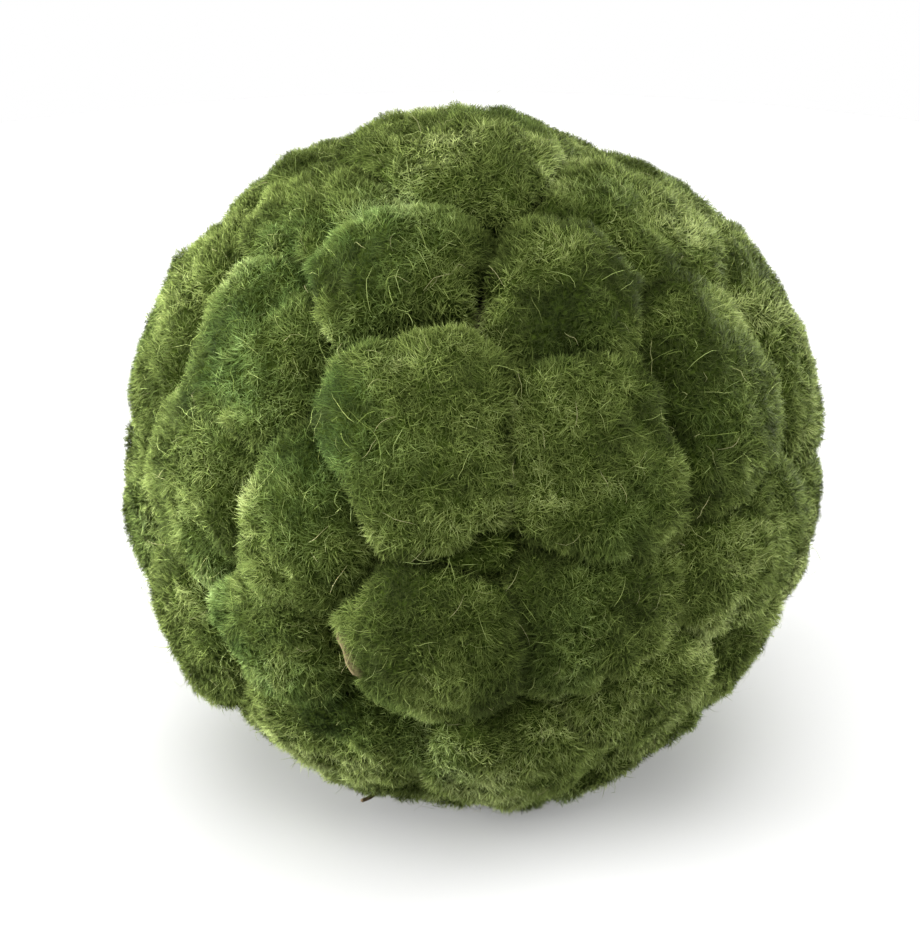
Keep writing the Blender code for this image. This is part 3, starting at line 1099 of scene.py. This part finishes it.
# Where each light stands, its width and height, and its power; all of them face the ball
LIGHTS = {
    "top_front": ((0.0, -0.5, 1.1), (1.0, 1.0), 18.0),
    "top_back": ((0.0, 0.8, 1.0), (1.0, 1.0), 8.0),
    "left": ((-1.25, -0.1, 0.22), (0.8, 0.36), 52.0),
    "left_high": ((-1.1, -0.1, 0.55), (0.9, 0.6), 4.0),
    "right": ((1.25, -0.1, 0.22), (0.8, 0.36), 14.0),
    "right_back": ((0.95, 0.8, 0.22), (0.8, 0.36), 34.0),
    "left_back": ((-0.95, 0.8, 0.22), (0.8, 0.36), 6.0),
}


def add_floor():
    """A round floor, small enough for its rim to be lit to white, so that it doesn't show against the sky."""
    turns = np.linspace(0.0, 2 * np.pi, FLOOR_SECTORS, endpoint=False)
    corners = np.column_stack([FLOOR_RADIUS * circle(turns), np.zeros(FLOOR_SECTORS)])
    mesh = bpy.data.meshes.new("floor")
    mesh.from_pydata(corners.tolist(), [], [tuple(range(FLOOR_SECTORS))])
    finish, _, _, shader = shader_of("floor white", 0.9, 0.0)
    shader.inputs["Base Color"].default_value = (FLOOR_WHITE, FLOOR_WHITE, FLOOR_WHITE, 1.0)
    mesh.materials.append(finish)
    floor = bpy.data.objects.new("floor", mesh)
    bpy.context.scene.collection.objects.link(floor)


def add_camera():
    """The camera, from the front and above, aimed a little to the left of the ball's middle and below it."""
    elevation = np.radians(ELEVATION)
    up = np.array([0.0, np.sin(elevation), np.cos(elevation)])
    toward = np.array([0.0, -np.cos(elevation), np.sin(elevation)])
    right = np.array([1.0, 0.0, 0.0])
    data = bpy.data.cameras.new("camera")
    data.lens = LENS
    data.sensor_width = SENSOR
    data.clip_start = CLIP_START
    camera = bpy.data.objects.new("camera", data)
    camera.location = MIDDLE + DISTANCE * toward - AIM_LEFT * right - AIM_DOWN * up
    camera.rotation_euler = (np.radians(90 - ELEVATION), 0.0, 0.0)
    bpy.context.scene.collection.objects.link(camera)
    bpy.context.scene.camera = camera


def add_light(name, place, size, power):
    """A rectangular light that faces the ball."""
    data = bpy.data.lights.new(name, "AREA")
    data.shape = "RECTANGLE"
    data.size, data.size_y = size
    data.energy = power
    light = bpy.data.objects.new(name, data)
    light.location = place
    light.rotation_euler = Vector(MIDDLE - np.array(place)).to_track_quat("-Z", "Y").to_euler()
    bpy.context.scene.collection.objects.link(light)


def add_studio():
    """The floor, the camera, the lights, and a sky that is white to the camera and dim as a light."""
    add_floor()
    add_camera()
    for name, (place, size, power) in LIGHTS.items():
        add_light(name, place, size, power)
    world = bpy.data.worlds.new("studio")
    world.use_nodes = True
    background = world.node_tree.nodes["Background"]
    background.inputs["Color"].default_value = (1.0, 1.0, 1.0, 1.0)
    rays = world.node_tree.nodes.new("ShaderNodeLightPath")
    seen = world.node_tree.nodes.new("ShaderNodeMapRange")
    seen.inputs["To Min"].default_value = SKY
    world.node_tree.links.new(rays.outputs["Is Camera Ray"], seen.inputs["Value"])
    world.node_tree.links.new(seen.outputs["Result"], background.inputs["Strength"])
    bpy.context.scene.world = world
    bpy.context.scene.view_settings.view_transform = "Standard"


dress_inner_ball()
dress_clumps()
add_piece("twig", [twig_part()], [bark_finish()])
add_studio()
